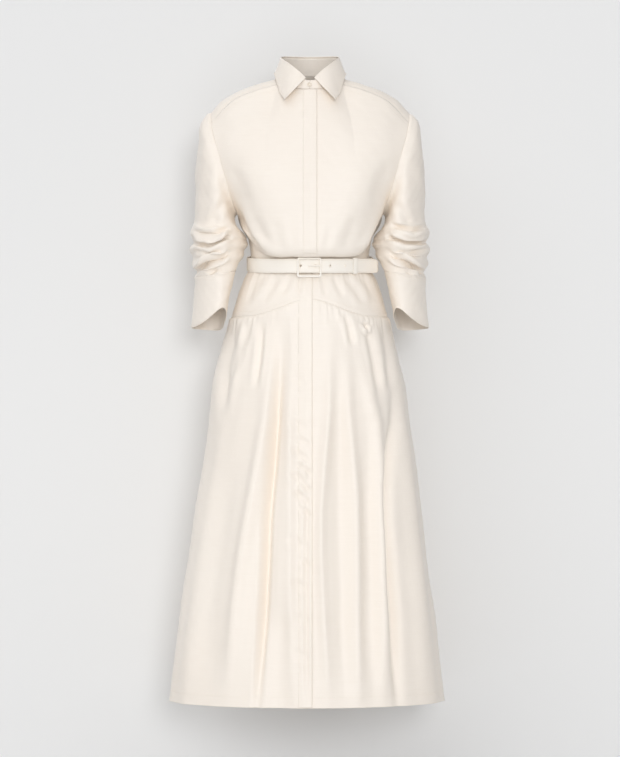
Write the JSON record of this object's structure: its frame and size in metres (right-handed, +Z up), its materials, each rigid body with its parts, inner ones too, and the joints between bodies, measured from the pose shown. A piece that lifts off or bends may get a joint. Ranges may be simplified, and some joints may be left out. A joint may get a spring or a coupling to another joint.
{
  "type": "shirt dress",
  "caption": "Long ivory silk shirt dress, filled out as worn: pointed collar, ruched sleeves, belted pouching bodice, curved hip yoke and gathered skirt.",
  "frame": {"origin": "middle of the neck opening at the neck seam, where the wearer holds the dress up", "axes": "+Z up towards the head, -Y the front of the dress, +X the wearer's left"},
  "size_m": [0.5763, 0.4646, 1.355],
  "materials": {
    "silk": "ivory silk taffeta, plain weave, soft sheen",
    "belt_silk": "the same silk over a stiff belt and buckle",
    "shell_button": "pale shell-like button, low gloss"
  },
  "bodies": {
    "root": {"bodice_front_left": "silk", "bodice_front_right": "silk", "bodice_back": "silk", "shoulder_yoke": "silk", "sleeve_left": "silk", "sleeve_right": "silk", "cuff_left": "silk", "cuff_right": "silk", "collar_stand": "silk", "collar_fall": "silk", "collar_button": "shell_button", "placket_bodice": "silk", "placket_skirt": "silk", "hip_yoke_front_left": "silk", "hip_yoke_front_right": "silk", "hip_yoke_back": "silk", "skirt_front_left": "silk", "skirt_front_right": "silk", "skirt_back": "silk", "belt": "belt_silk", "buckle_frame": "belt_silk", "buckle_prong": "belt_silk", "belt_keeper": "belt_silk"}
  },
  "joints": []
}
